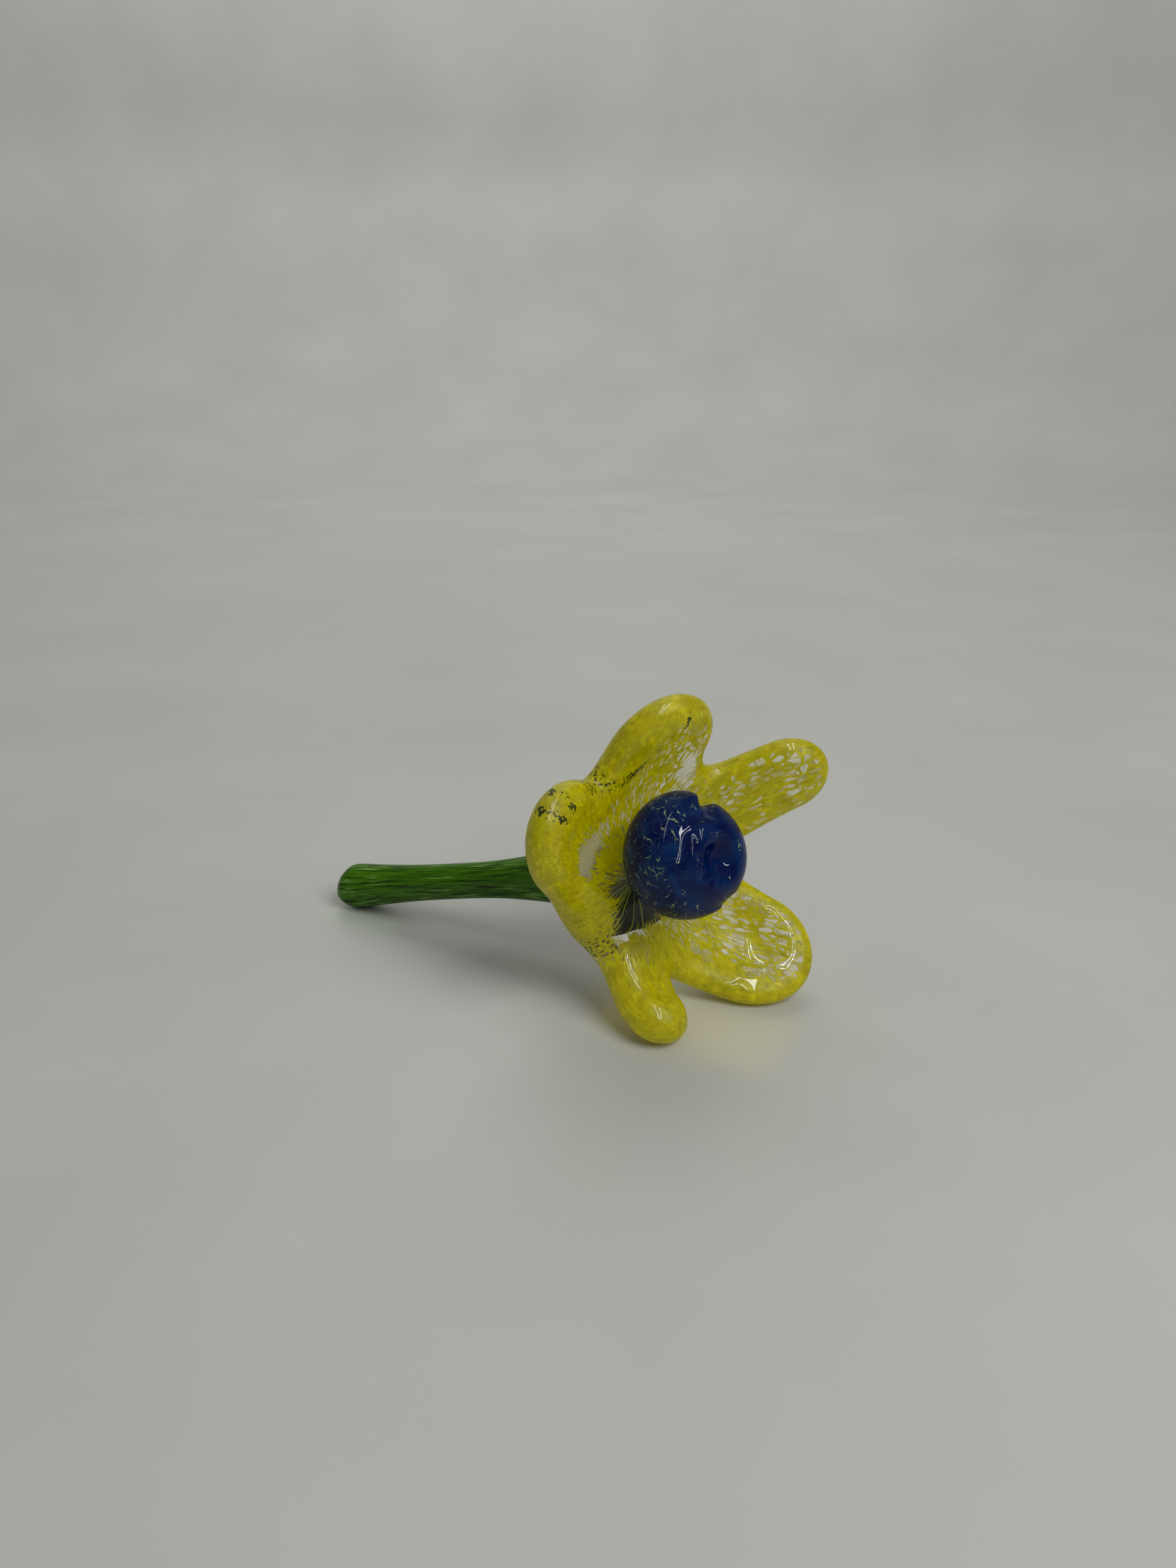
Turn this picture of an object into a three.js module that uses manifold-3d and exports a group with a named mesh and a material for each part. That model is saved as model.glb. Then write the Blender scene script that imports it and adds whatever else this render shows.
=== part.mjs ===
// A hand-made glass flower, lying on its side as it does on a table.
// Three pieces of hot glass are fused together: a green rod drawn out as the stem, with a wide
// cone at its head; a thick clear and yellow bloom pressed out into five petals; and a blue bulb
// with a folded mouth, set in the bloom's bowl. Millimetres, +Z up, +X along the stem towards
// the bloom. The pieces are kept a hair apart where they are fused.
import * as THREE from 'three';
import Module from 'manifold-3d';
import { mergeVertices } from 'three/addons/utils/BufferGeometryUtils.js';

// ---- Driving dimensions -------------------------------------------------------------------

// The bloom is drawn flat as a five-lobed outline round its axis, then bent forward. Angles are
// seen from the front, from the horizontal, anticlockwise. lift is how steeply a petal rises out
// of the bowl and tipLift how steeply its tip does; cup is how far its sides curl forward.
const PETALS = [
  { azimuth: -106, length: 56.5, halfWidth: 10.6, lift: 30, tipLift: 94, cup: 0.004, halfThickness: 7.2 },
  { azimuth: -45, length: 71, halfWidth: 20, lift: 14, tipLift: 55, cup: 0.008, halfThickness: 4.6 },
  { azimuth: 26, length: 75.5, halfWidth: 14.3, lift: 36, tipLift: 51.5, cup: 0.006, halfThickness: 5.1 },
  { azimuth: 82, length: 67.5, halfWidth: 19.5, lift: 33, tipLift: 57, cup: 0.001, halfThickness: 5.8 },
  { azimuth: 145, length: 55, halfWidth: 18, lift: 29, tipLift: 59, cup: 0.01, halfThickness: 6.3 },
];
// Where the glass between each petal and the next comes nearest to the axis, and how near.
const NOTCHES = [
  { azimuth: -86, radius: 28.5 },
  { azimuth: -3, radius: 24 },
  { azimuth: 50, radius: 45 },
  { azimuth: 115, radius: 34 },
  { azimuth: -132, radius: 24 },
];
const JOIN_SHARPNESS = 8;        // higher gives a tighter corner between petal and web
const RIM_WIDTH = 8;             // how far in from its edge the glass rounds over
const BOWL_DEPTH = 15;           // middle of the glass behind the bloom's origin, on the axis
const HUB_HALF_THICKNESS = 12;
const HUB_RADIUS = 34;           // where the thick hub has thinned to petal glass
const BOWL_BEND = [2, 26];       // distances from the axis over which the bowl turns up
const TIP_BEND = [30, 62];       // distances over which a petal takes its tip's lift
const CUP_START = [20, 45];

// The bulb's middle stands off the bloom's axis, and its mouth looks a little to one side.
const BULB_RADIUS = 17.8;
const BULB_AT = [0.7, 6.8, 15.3];
const BULB_TILT = [-2.5, 8];     // degrees about the bloom's horizontal and upright axes
const BULB_FOOT = 20.5;          // reach of the bulb's foot behind its middle
// Degrees from the mouth's middle: where the neck sinks in and ends, and the collar's middle and
// reach. The neck and the collar run askew, further back on the far side.
const NECK_FROM = [24, 52];
const NECK_TO = [59, 67];
const COLLAR = { middle: 92, reach: 32 };
const SKEW = 40;
const NECK_DEPTH = 2.7;
const COLLAR_HEIGHT = 1.5;
const UNDERSIDE_SHARE = 0.25;    // how much of the neck and the collar is left below
// Hollows pressed into the mouth: degrees from its middle and round it, degrees of reach towards
// and round the mouth, and depth.
const HOLLOWS = [
  { away: 10, spin: -155, reach: 17, sweep: 16, depth: 4.2 },
  { away: 12, spin: 176, reach: 21, sweep: 27, depth: 2 },
  { away: 31, spin: 178, reach: 4.5, sweep: 22, depth: 1 },
  { away: 52, spin: 160, reach: 8, sweep: 16, depth: 0.8 },
];
const DENT_EDGE = 2.3;           // higher gives a hollow a flatter floor and steeper sides

// The stem: distance from its cut end and radius there, then the head, by height on the bloom's
// axis and radius.
const STEM_END = [-85.5, 8.5, 6.4];
const STEM_PROFILE = [[0, 5.2], [1, 6.9], [4, 7.9], [9, 8], [17, 7.3], [29, 6.6], [45, 6.2], [62, 6.2], [76, 6.7]];
const HEAD_PROFILE = [[-31, 10.4], [-26, 13.6], [-21, 16.6], [-17, 17.8], [-14, 17.2], [-12, 14]];
const END_BEVEL = { tilt: 14, drop: 3.2 };   // slant of the cut end and the chip at its lower edge

// How the flower lies: the bloom's origin, and where its axis points.
const BLOOM_AT = [44.3, -2.7, 42.8];
const AXIS_YAW = -22.7;          // degrees round from +X
const AXIS_RISE = 17.7;          // degrees above the table

const FUSING_GAP = 0.3;
const SIDE_STEPS = 14;           // points along each side of a petal, from notch to tip
const EDGE_RINGS = 3;
const ROW_CELLS = 6;             // cells across a petal
const HUB_RINGS = 3;
const BULB_SPOKES = 48;
const BULB_RINGS = 40;
const STEM_SIDES = 20;
const PETAL_FOCUS = 6;           // how closely the glass follows the petal nearest to it
const WEB_FOCUS = 5;
const RIM_SAMPLES = 200;
const BEND_STEPS = 12;

const { degToRad, radToDeg, smoothstep, lerp } = THREE.MathUtils;
const FULL_TURN = 2 * Math.PI;

// ---- The bloom ----------------------------------------------------------------------------

const petalAngles = PETALS.map((petal) => degToRad(petal.azimuth));
const notchAngles = NOTCHES.map((notch) => degToRad(notch.azimuth));

function turn(angle) {
  return Math.atan2(Math.sin(angle), Math.cos(angle));
}

// How much each petal, or notch, counts at an angle. The shares add up to one.
function shares(angle, centres, focus) {
  const raw = centres.map((centre) => Math.exp(focus * (Math.cos(angle - centre) - 1)));
  const total = raw.reduce((sum, share) => sum + share, 0);
  return raw.map((share) => share / total);
}

function mix(weights, values) {
  return weights.reduce((sum, weight, i) => sum + weight * values[i], 0);
}

function petalShares(angle, key) {
  return mix(shares(angle, petalAngles, PETAL_FOCUS), PETALS.map((petal) => petal[key]));
}

// The flat outline: five straight-sided petals with round tips, joined by the web between them.
function outlineRadius(angle) {
  const web = mix(shares(angle, notchAngles, WEB_FOCUS), NOTCHES.map((notch) => notch.radius));
  let total = web ** JOIN_SHARPNESS;
  PETALS.forEach(({ length, halfWidth }, i) => {
    const along = Math.cos(angle - petalAngles[i]);
    const across = Math.abs(Math.sin(angle - petalAngles[i]));
    const reach = length - halfWidth;
    let radius = halfWidth;
    if (along > 0 && across * reach < halfWidth * along) {
      radius = reach * along + Math.sqrt(halfWidth ** 2 - (reach * across) ** 2);
    } else if (along > 0) {
      radius = halfWidth / across;
    }
    total += radius ** JOIN_SHARPNESS;
  });
  return total ** (1 / JOIN_SHARPNESS);
}

function polar(radius, angle) {
  return new THREE.Vector2(radius * Math.cos(angle), radius * Math.sin(angle));
}

// Points at equal distances along the outline from one angle to another, without the last.
function outlinePoints(from, to) {
  const angles = [];
  const lengths = [0];
  for (let i = 0; i <= RIM_SAMPLES; i += 1) {
    angles.push(lerp(from, to, i / RIM_SAMPLES));
  }
  const edge = angles.map((angle) => polar(outlineRadius(angle), angle));
  for (let i = 1; i < edge.length; i += 1) {
    lengths.push(lengths[i - 1] + edge[i].distanceTo(edge[i - 1]));
  }
  const found = [];
  let i = 1;
  for (let step = 0; step < SIDE_STEPS; step += 1) {
    const wanted = lengths.at(-1) * step / SIDE_STEPS;
    while (lengths[i] < wanted) {
      i += 1;
    }
    const angle = lerp(angles[i - 1], angles[i], (wanted - lengths[i - 1]) / (lengths[i] - lengths[i - 1]));
    found.push(polar(outlineRadius(angle), angle));
  }
  return found;
}

// A petal's edge, from the notch before it up to its tip and down to the notch after it.
function petalRim(petal) {
  const tip = petalAngles[petal];
  const before = tip + turn(notchAngles.at(petal - 1) - tip);
  const after = tip + turn(notchAngles[petal] - tip);
  return [...outlinePoints(before, tip), ...outlinePoints(tip, after)];
}

// The flat pattern as points, each with its share of the full thickness, and anticlockwise faces:
// rings along the rim, then rows across each petal, then rings round the hub.
function flatPattern() {
  const points = [];
  const faces = [];
  const add = (point, fullness) => points.push({ point, fullness }) - 1;
  const rim = PETALS.flatMap((_, petal) => petalRim(petal));
  const inward = rim.map((point, i) => {
    const along = rim[(i + 1) % rim.length].clone().sub(rim.at(i - 1)).normalize();
    return new THREE.Vector2(-along.y, along.x);
  });
  const join = (outer, inner) => outer.forEach((corner, i) => {
    const next = (i + 1) % outer.length;
    faces.push([corner, outer[next], inner[next], inner[i]]);
  });

  let ring = rim.map((point) => add(point, 0));
  for (let edge = 1; edge <= EDGE_RINGS; edge += 1) {
    const roll = edge / EDGE_RINGS * Math.PI / 2;
    const step = RIM_WIDTH * (1 - Math.cos(roll));
    const inner = rim.map((point, i) => add(point.clone().addScaledVector(inward[i], step), Math.sin(roll)));
    join(ring, inner);
    ring = inner;
  }

  const hub = [];
  PETALS.forEach((_, petal) => {
    const edgeCorner = (step) => ring[(2 * SIDE_STEPS * petal + step) % ring.length];
    let below = [];
    for (let row = 0; row < SIDE_STEPS; row += 1) {
      const cells = [edgeCorner(row)];
      const end = edgeCorner(2 * SIDE_STEPS - row);
      for (let cell = 1; cell < ROW_CELLS; cell += 1) {
        cells.push(add(points[cells[0]].point.clone().lerp(points[end].point, cell / ROW_CELLS), 1));
      }
      cells.push(end);
      if (row === 0) {
        hub.push(...cells.slice(0, -1));
      } else {
        for (let cell = 0; cell < ROW_CELLS; cell += 1) {
          faces.push([below[cell], cells[cell], cells[cell + 1], below[cell + 1]]);
        }
      }
      below = cells;
    }
    for (let cell = 0; cell < ROW_CELLS; cell += 1) {
      faces.push([below[cell], edgeCorner(SIDE_STEPS), below[cell + 1]]);
    }
  });

  ring = hub;
  for (let step = 1; step < HUB_RINGS; step += 1) {
    const share = 1 - step / HUB_RINGS;
    const inner = hub.map((corner) => add(points[corner].point.clone().multiplyScalar(share), 1));
    join(ring, inner);
    ring = inner;
  }
  const centre = add(new THREE.Vector2(0, 0), 1);
  ring.forEach((corner, i) => faces.push([corner, ring[(i + 1) % ring.length], centre]));
  return { points, faces, rimCount: rim.length };
}

// Where a point of the flat pattern stands once the glass is bent forward.
function middle(x, y) {
  const radius = Math.hypot(x, y);
  const angle = Math.atan2(y, x);
  const lift = petalShares(angle, 'lift');
  const tipLift = petalShares(angle, 'tipLift');
  const slopeAt = (distance) => degToRad(
    lift * smoothstep(distance, ...BOWL_BEND) + (tipLift - lift) * smoothstep(distance, ...TIP_BEND),
  );
  let out = 0;
  let up = -BOWL_DEPTH;
  for (let step = 0; step < BEND_STEPS; step += 1) {
    const slope = slopeAt(radius * (step + 0.5) / BEND_STEPS);
    out += Math.cos(slope) * radius / BEND_STEPS;
    up += Math.sin(slope) * radius / BEND_STEPS;
  }
  const curls = PETALS.map((petal, i) => petal.cup * (radius * Math.sin(angle - petalAngles[i])) ** 2);
  const curl = mix(shares(angle, petalAngles, PETAL_FOCUS), curls) * smoothstep(radius, ...CUP_START);
  out -= curl * Math.sin(slopeAt(radius));
  up += curl * Math.cos(slopeAt(radius));
  return new THREE.Vector3(out * Math.cos(angle), out * Math.sin(angle), up);
}

// A point on the bloom's front (side 1) or back (side -1).
function bloomPoint({ x, y }, fullness, side) {
  const nudge = 0.05;
  const acrossX = middle(x + nudge, y).sub(middle(x - nudge, y));
  const acrossY = middle(x, y + nudge).sub(middle(x, y - nudge));
  const petalHalf = petalShares(Math.atan2(y, x), 'halfThickness');
  const half = lerp(HUB_HALF_THICKNESS, petalHalf, smoothstep(Math.hypot(x, y), BOWL_BEND[0], HUB_RADIUS));
  return middle(x, y).addScaledVector(acrossX.cross(acrossY).normalize(), side * half * fullness);
}

// The pattern's faces laid on the front and, turned over, on the back. Both share the rim.
function bloomGeometry() {
  const { points, faces, rimCount } = flatPattern();
  const positions = [];
  const triangles = [];
  for (const side of [1, -1]) {
    const corners = points.map(({ point, fullness }, i) => {
      const shared = side < 0 && i < rimCount;
      return shared ? i : positions.push(...bloomPoint(point, fullness, side).toArray()) / 3 - 1;
    });
    for (const face of faces) {
      const loop = side > 0 ? face : [...face].reverse();
      for (let i = 2; i < loop.length; i += 1) {
        triangles.push(corners[loop[0]], corners[loop[i - 1]], corners[loop[i]]);
      }
    }
  }
  return indexed(positions, triangles);
}

function indexed(positions, faces) {
  const geometry = new THREE.BufferGeometry();
  geometry.setAttribute('position', new THREE.Float32BufferAttribute(positions, 3));
  geometry.setIndex(faces);
  return geometry;
}

// ---- The bulb -----------------------------------------------------------------------------

function dent(value, reach) {
  return Math.exp(-(Math.abs(value / reach) ** DENT_EDGE));
}

// How far a hollow goes in where a ray from the bulb's middle meets the glass, and which way.
function press(ray, { away, spin, reach, sweep, depth }) {
  const [sinAway, cosAway] = [Math.sin(degToRad(away)), Math.cos(degToRad(away))];
  const [sinSpin, cosSpin] = [Math.sin(degToRad(spin)), Math.cos(degToRad(spin))];
  const inward = new THREE.Vector3(sinAway * cosSpin, sinAway * sinSpin, cosAway);
  const outwards = new THREE.Vector3(cosAway * cosSpin, cosAway * sinSpin, -sinAway);
  const aside = inward.clone().cross(outwards);
  const down = radToDeg(Math.atan2(ray.dot(outwards), ray.dot(inward)));
  const across = radToDeg(Math.atan2(ray.dot(aside), ray.dot(inward)));
  return inward.multiplyScalar(-depth * dent(down, reach) * dent(across, sweep));
}

// A ball of glass pulled out to a foot behind, with a collar round its back half, a neck in front
// of the collar, and a mouth folded in.
function bulbGeometry(extra = 0) {
  const ball = new THREE.SphereGeometry(1, BULB_SPOKES, BULB_RINGS).rotateX(Math.PI / 2);
  ball.deleteAttribute('normal');
  ball.deleteAttribute('uv');
  const geometry = mergeVertices(ball, 1e-5);
  const positions = geometry.getAttribute('position');
  const ray = new THREE.Vector3();
  for (let i = 0; i < positions.count; i += 1) {
    ray.fromBufferAttribute(positions, i).normalize();
    const fromMouth = radToDeg(Math.acos(ray.z));
    const spin = Math.atan2(ray.y, ray.x);
    const upper = lerp(UNDERSIDE_SHARE, 1, smoothstep(Math.sin(spin), -0.2, 0.9));
    const askew = fromMouth - SKEW * smoothstep(Math.cos(spin), 0.1, 0.7);
    const neck = smoothstep(askew, ...NECK_FROM) * (1 - smoothstep(askew, ...NECK_TO));
    const collar = dent(askew - COLLAR.middle, COLLAR.reach);
    const radius = BULB_RADIUS + extra
      + upper * (COLLAR_HEIGHT * collar - NECK_DEPTH * neck)
      + (BULB_FOOT - BULB_RADIUS) * smoothstep(fromMouth, 140, 180);
    const point = ray.clone().multiplyScalar(radius);
    HOLLOWS.forEach((hollow) => point.add(press(ray, hollow)));
    positions.setXYZ(i, ...point.toArray());
  }
  geometry.rotateX(degToRad(BULB_TILT[0])).rotateY(degToRad(BULB_TILT[1])).translate(...BULB_AT);
  return geometry;
}

// ---- The stem and its head ----------------------------------------------------------------

function bloomFrame() {
  const frame = new THREE.Group();
  frame.position.set(...BLOOM_AT);
  const yaw = degToRad(AXIS_YAW);
  const rise = degToRad(AXIS_RISE);
  const axis = new THREE.Vector3(Math.cos(yaw) * Math.cos(rise), Math.sin(yaw) * Math.cos(rise), Math.sin(rise));
  const right = new THREE.Vector3(-Math.sin(yaw), Math.cos(yaw), 0);
  const turned = new THREE.Matrix4().makeBasis(right, axis.clone().cross(right), axis);
  frame.quaternion.setFromRotationMatrix(turned);
  frame.updateMatrixWorld(true);
  return frame;
}

// Rings along the stem's middle line, from its cut end to the front of its head.
function stemGeometry(extra = 0) {
  const frame = bloomFrame();
  const onAxis = (height) => new THREE.Vector3(0, 0, height).applyMatrix4(frame.matrixWorld);
  const headFront = HEAD_PROFILE.at(-1)[0];
  const neck = HEAD_PROFILE[0][0];
  const end = new THREE.Vector3(...STEM_END);
  const line = new THREE.CatmullRomCurve3([
    end,
    end.clone().lerp(onAxis(neck), 0.4),
    end.clone().lerp(onAxis(neck), 0.75),
    onAxis(neck),
    onAxis(headFront + extra),
  ]);
  const length = line.getLength();
  const stations = [
    ...STEM_PROFILE,
    ...HEAD_PROFILE.map(([height, radius]) => [length - headFront + height, radius + extra]),
  ];
  const positions = [...end.toArray()];
  const faces = [];
  stations.forEach(([distance, radius], ring) => {
    const place = Math.min(distance / length, 1);
    const centre = line.getPointAt(place);
    const along = line.getTangentAt(place);
    const sideways = new THREE.Vector3(0, 0, 1).cross(along).normalize();
    const upwards = along.clone().cross(sideways);
    const slant = 1 - smoothstep(distance, 0, 14);
    for (let side = 0; side < STEM_SIDES; side += 1) {
      const angle = FULL_TURN * side / STEM_SIDES;
      const height = Math.sin(angle);
      const back = slant * (Math.tan(degToRad(END_BEVEL.tilt)) * radius * height
        + END_BEVEL.drop * smoothstep(-height, 0.3, 1));
      const point = centre.clone().addScaledVector(sideways, radius * Math.cos(angle))
        .addScaledVector(upwards, radius * height).addScaledVector(along, back);
      positions.push(...point.toArray());
      const here = 1 + ring * STEM_SIDES + side;
      const next = 1 + ring * STEM_SIDES + (side + 1) % STEM_SIDES;
      if (ring === 0) {
        faces.push(0, next, here);
      } else {
        faces.push(here - STEM_SIDES, next, here, here - STEM_SIDES, next - STEM_SIDES, next);
      }
    }
  });
  positions.push(...onAxis(headFront + extra).toArray());
  const tip = positions.length / 3 - 1;
  for (let side = 0; side < STEM_SIDES; side += 1) {
    faces.push(tip, tip - STEM_SIDES + side, tip - STEM_SIDES + (side + 1) % STEM_SIDES);
  }
  return indexed(positions, faces);
}

// ---- Fusing -------------------------------------------------------------------------------

const manifold = await Module();
manifold.setup();

function toSolid(geometry) {
  return new manifold.Manifold(new manifold.Mesh({
    numProp: 3,
    vertProperties: new Float32Array(geometry.getAttribute('position').array),
    triVerts: new Uint32Array(geometry.getIndex().array),
  }));
}

function fromSolid(solid) {
  const { vertProperties, triVerts } = solid.getMesh();
  return indexed([...vertProperties], [...triVerts]);
}

function glass(name, geometry, color, roughness) {
  const material = new THREE.MeshStandardMaterial({ color, roughness, metalness: 0 });
  const mesh = new THREE.Mesh(geometry, material);
  mesh.name = name;
  return mesh;
}

const frame = bloomFrame();
const headSeat = stemGeometry(FUSING_GAP).applyMatrix4(frame.matrixWorld.clone().invert());
const seated = toSolid(bloomGeometry())
  .subtract(toSolid(headSeat))
  .subtract(toSolid(bulbGeometry(FUSING_GAP)));

frame.add(glass('bloom', fromSolid(seated), 0xb9b01c, 0.08));
frame.add(glass('bulb', bulbGeometry(), 0x14245a, 0.08));

const flower = new THREE.Group();
flower.add(glass('stem', stemGeometry(), 0x2f5f18, 0.12));
flower.add(frame);

export default flower;
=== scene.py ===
import math

import bpy
import numpy as np
from mathutils import Matrix, Vector, geometry, kdtree, noise


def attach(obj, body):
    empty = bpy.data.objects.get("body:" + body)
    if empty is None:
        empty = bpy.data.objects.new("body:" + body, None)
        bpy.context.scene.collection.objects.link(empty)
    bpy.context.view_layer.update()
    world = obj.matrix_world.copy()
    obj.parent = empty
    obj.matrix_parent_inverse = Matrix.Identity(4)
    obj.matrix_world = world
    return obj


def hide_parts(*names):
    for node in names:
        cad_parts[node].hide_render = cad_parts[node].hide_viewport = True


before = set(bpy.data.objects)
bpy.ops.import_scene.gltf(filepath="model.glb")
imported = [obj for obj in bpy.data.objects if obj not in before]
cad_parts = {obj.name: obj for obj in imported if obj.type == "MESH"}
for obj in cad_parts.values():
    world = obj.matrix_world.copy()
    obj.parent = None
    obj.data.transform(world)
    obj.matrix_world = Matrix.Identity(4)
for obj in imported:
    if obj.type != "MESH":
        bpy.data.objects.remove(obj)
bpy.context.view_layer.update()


# ---- The stem -----------------------------------------------------------------------------
# A rod of green glass, drawn out by hand and cut off with a slant. It widens into a cone-shaped
# head, which the bloom is pressed onto. Dark and light green threads run along it, and pale strands
# over the head.

BLOOM_AT = Vector((0.0443, -0.0027, 0.0428))
AXIS_YAW = math.radians(-22.7)
AXIS_RISE = math.radians(17.7)
STEM_END = Vector((-0.0855, 0.0085, 0.0064))
# Distance from the cut end and radius there. For the head, height on the bloom's axis and radius.
STEM_PROFILE = [
    (0, 0.0035), (0, 0.0060), (0.0002, 0.0064), (0.0026, 0.0078), (0.0034, 0.0080),
    (0.005, 0.0081), (0.009, 0.0080), (0.017, 0.0073),
    (0.029, 0.0066), (0.045, 0.0062), (0.062, 0.0062), (0.076, 0.0067),
]
HEAD_PROFILE = [
    (-0.031, 0.0104), (-0.026, 0.0136), (-0.021, 0.0166),
    (-0.017, 0.0178), (-0.014, 0.0172), (-0.012, 0.014), (-0.012, 0.009), (-0.012, 0.003),
]
BEVEL_SLANT = math.tan(math.radians(14))
BEVEL_DROP = 0.0032             # how far the lowest corner of the cut is set back
BEVEL_CORNER = (0.3, 1)         # where that corner begins and ends, as shares of the radius
BEVEL_FADE = 0.014              # distance from the cut end at which the slant has died out
STRAIGHT_SHARE = 0.75           # how much of the way to the head the stem runs straight
HEAD_FINISH_FROM = np.array((-0.024, -0.018))      # heights over which the head's finish takes over
STEM_SIDES = 24
STRAIGHT_STEPS = 200            # points along the middle line, in its straight stretch
CURVED_STEPS = 60               # and in its curve and in the head
ROUNDING_LEVELS = 3
GLASS_IOR = 1.5


def unit(vector):
    return vector / np.linalg.norm(vector, axis=-1, keepdims=True)


def smoothstep(value, low, high):
    share = np.clip((np.asarray(value, float) - low) / (high - low), 0, 1)
    return share * share * (3 - 2 * share)


def bloom_frame():
    """From the bloom's own axes, its back to its front along +Z, to where it lies."""
    axis = Vector((
        math.cos(AXIS_YAW) * math.cos(AXIS_RISE),
        math.sin(AXIS_YAW) * math.cos(AXIS_RISE),
        math.sin(AXIS_RISE),
    ))
    right = Vector((-math.sin(AXIS_YAW), math.cos(AXIS_YAW), 0))
    turned = Matrix((right, axis.cross(right), axis)).transposed().to_4x4()
    return Matrix.Translation(BLOOM_AT) @ turned


def stem_line():
    """The stem's middle line, as points a fraction of a millimetre apart."""
    neck = bloom_frame() @ Vector((0, 0, HEAD_PROFILE[0][0]))
    front = bloom_frame() @ Vector((0, 0, HEAD_PROFILE[-1][0]))
    bend = STEM_END.lerp(neck, STRAIGHT_SHARE)
    reach = (neck - bend).length / 3
    straight = [STEM_END.lerp(bend, step / STRAIGHT_STEPS) for step in range(STRAIGHT_STEPS)]
    handles = (bend + reach * (bend - STEM_END).normalized(), neck - reach * (front - bend).normalized())
    curved = geometry.interpolate_bezier(bend, *handles, neck, CURVED_STEPS)[:-1]
    head = [neck.lerp(front, step / CURVED_STEPS) for step in range(CURVED_STEPS + 1)]
    return np.array([*straight, *curved, *head])


def new_piece(name, vertices, faces, material, node):
    mesh = bpy.data.meshes.new(name)
    mesh.from_pydata([tuple(vertex) for vertex in vertices], [], faces)
    mesh.shade_smooth()
    mesh.materials.append(material)
    piece = bpy.data.objects.new(name, mesh)
    bpy.context.scene.collection.objects.link(piece)
    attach(piece, "root")
    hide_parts(node)
    return piece


def store(piece, name, values):
    """Keeps a number or a vector for every vertex, for the piece's finish to read."""
    values = np.asarray(values, np.float32)
    kind = "FLOAT" if values.ndim == 1 else "FLOAT_VECTOR"
    attribute = piece.data.attributes.new(name, kind, "POINT")
    attribute.data.foreach_set("value" if values.ndim == 1 else "vector", values.ravel())


def stem_mesh():
    line = stem_line()
    lengths = np.concatenate([[0], np.cumsum(np.linalg.norm(np.diff(line, axis=0), axis=1))])
    bloom_at = lengths[-1] - HEAD_PROFILE[-1][0]
    stations = STEM_PROFILE + [(bloom_at + height, radius) for height, radius in HEAD_PROFILE]
    vertices = [line[0]]
    flow = [(0, 0, 0)]
    on_head = [0]
    faces = []
    turns = 2 * np.pi * np.arange(STEM_SIDES) / STEM_SIDES
    for ring, (distance, radius) in enumerate(stations):
        centre = np.array([np.interp(distance, lengths, line[:, axis]) for axis in range(3)])
        step = int(np.clip(np.searchsorted(lengths, distance), 1, len(line) - 1))
        along = unit(line[step] - line[step - 1])
        sideways = unit(np.cross((0, 0, 1), along))
        upwards = np.cross(along, sideways)
        slant = 1 - smoothstep(distance, 0, BEVEL_FADE)
        for side, angle in enumerate(turns):
            height = math.sin(angle)
            corner = smoothstep(-height, *BEVEL_CORNER)
            back = slant * (BEVEL_SLANT * radius * height + BEVEL_DROP * corner)
            ray = sideways * math.cos(angle) + upwards * height
            vertices.append(centre + radius * ray + back * along)
            flow.append((math.cos(angle), height, distance))
            on_head.append(float(smoothstep(distance, *(bloom_at + HEAD_FINISH_FROM))))
            here = 1 + ring * STEM_SIDES + side
            after = 1 + ring * STEM_SIDES + (side + 1) % STEM_SIDES
            if ring == 0:
                faces.append((0, after, here))
            else:
                faces.append((here - STEM_SIDES, after - STEM_SIDES, after, here))
    vertices.append(line[-1])
    flow.append((0, 0, lengths[-1]))
    on_head.append(1)
    last = len(vertices) - 1
    for side in range(STEM_SIDES):
        faces.append((last, last - STEM_SIDES + side, last - STEM_SIDES + (side + 1) % STEM_SIDES))
    return vertices, faces, flow, on_head


class Link:
    """A node's output. Python's operators on it add Math nodes."""

    def __init__(self, finish, socket):
        self.finish = finish
        self.socket = socket

    def __add__(self, other):
        return self.finish.maths("ADD", self, other)

    def __radd__(self, other):
        return self.finish.maths("ADD", other, self)

    def __sub__(self, other):
        return self.finish.maths("SUBTRACT", self, other)

    def __rsub__(self, other):
        return self.finish.maths("SUBTRACT", other, self)

    def __mul__(self, other):
        return self.finish.maths("MULTIPLY", self, other)

    def __rmul__(self, other):
        return self.finish.maths("MULTIPLY", other, self)

    def __truediv__(self, other):
        return self.finish.maths("DIVIDE", self, other)

    def __rtruediv__(self, other):
        return self.finish.maths("DIVIDE", other, self)


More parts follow.
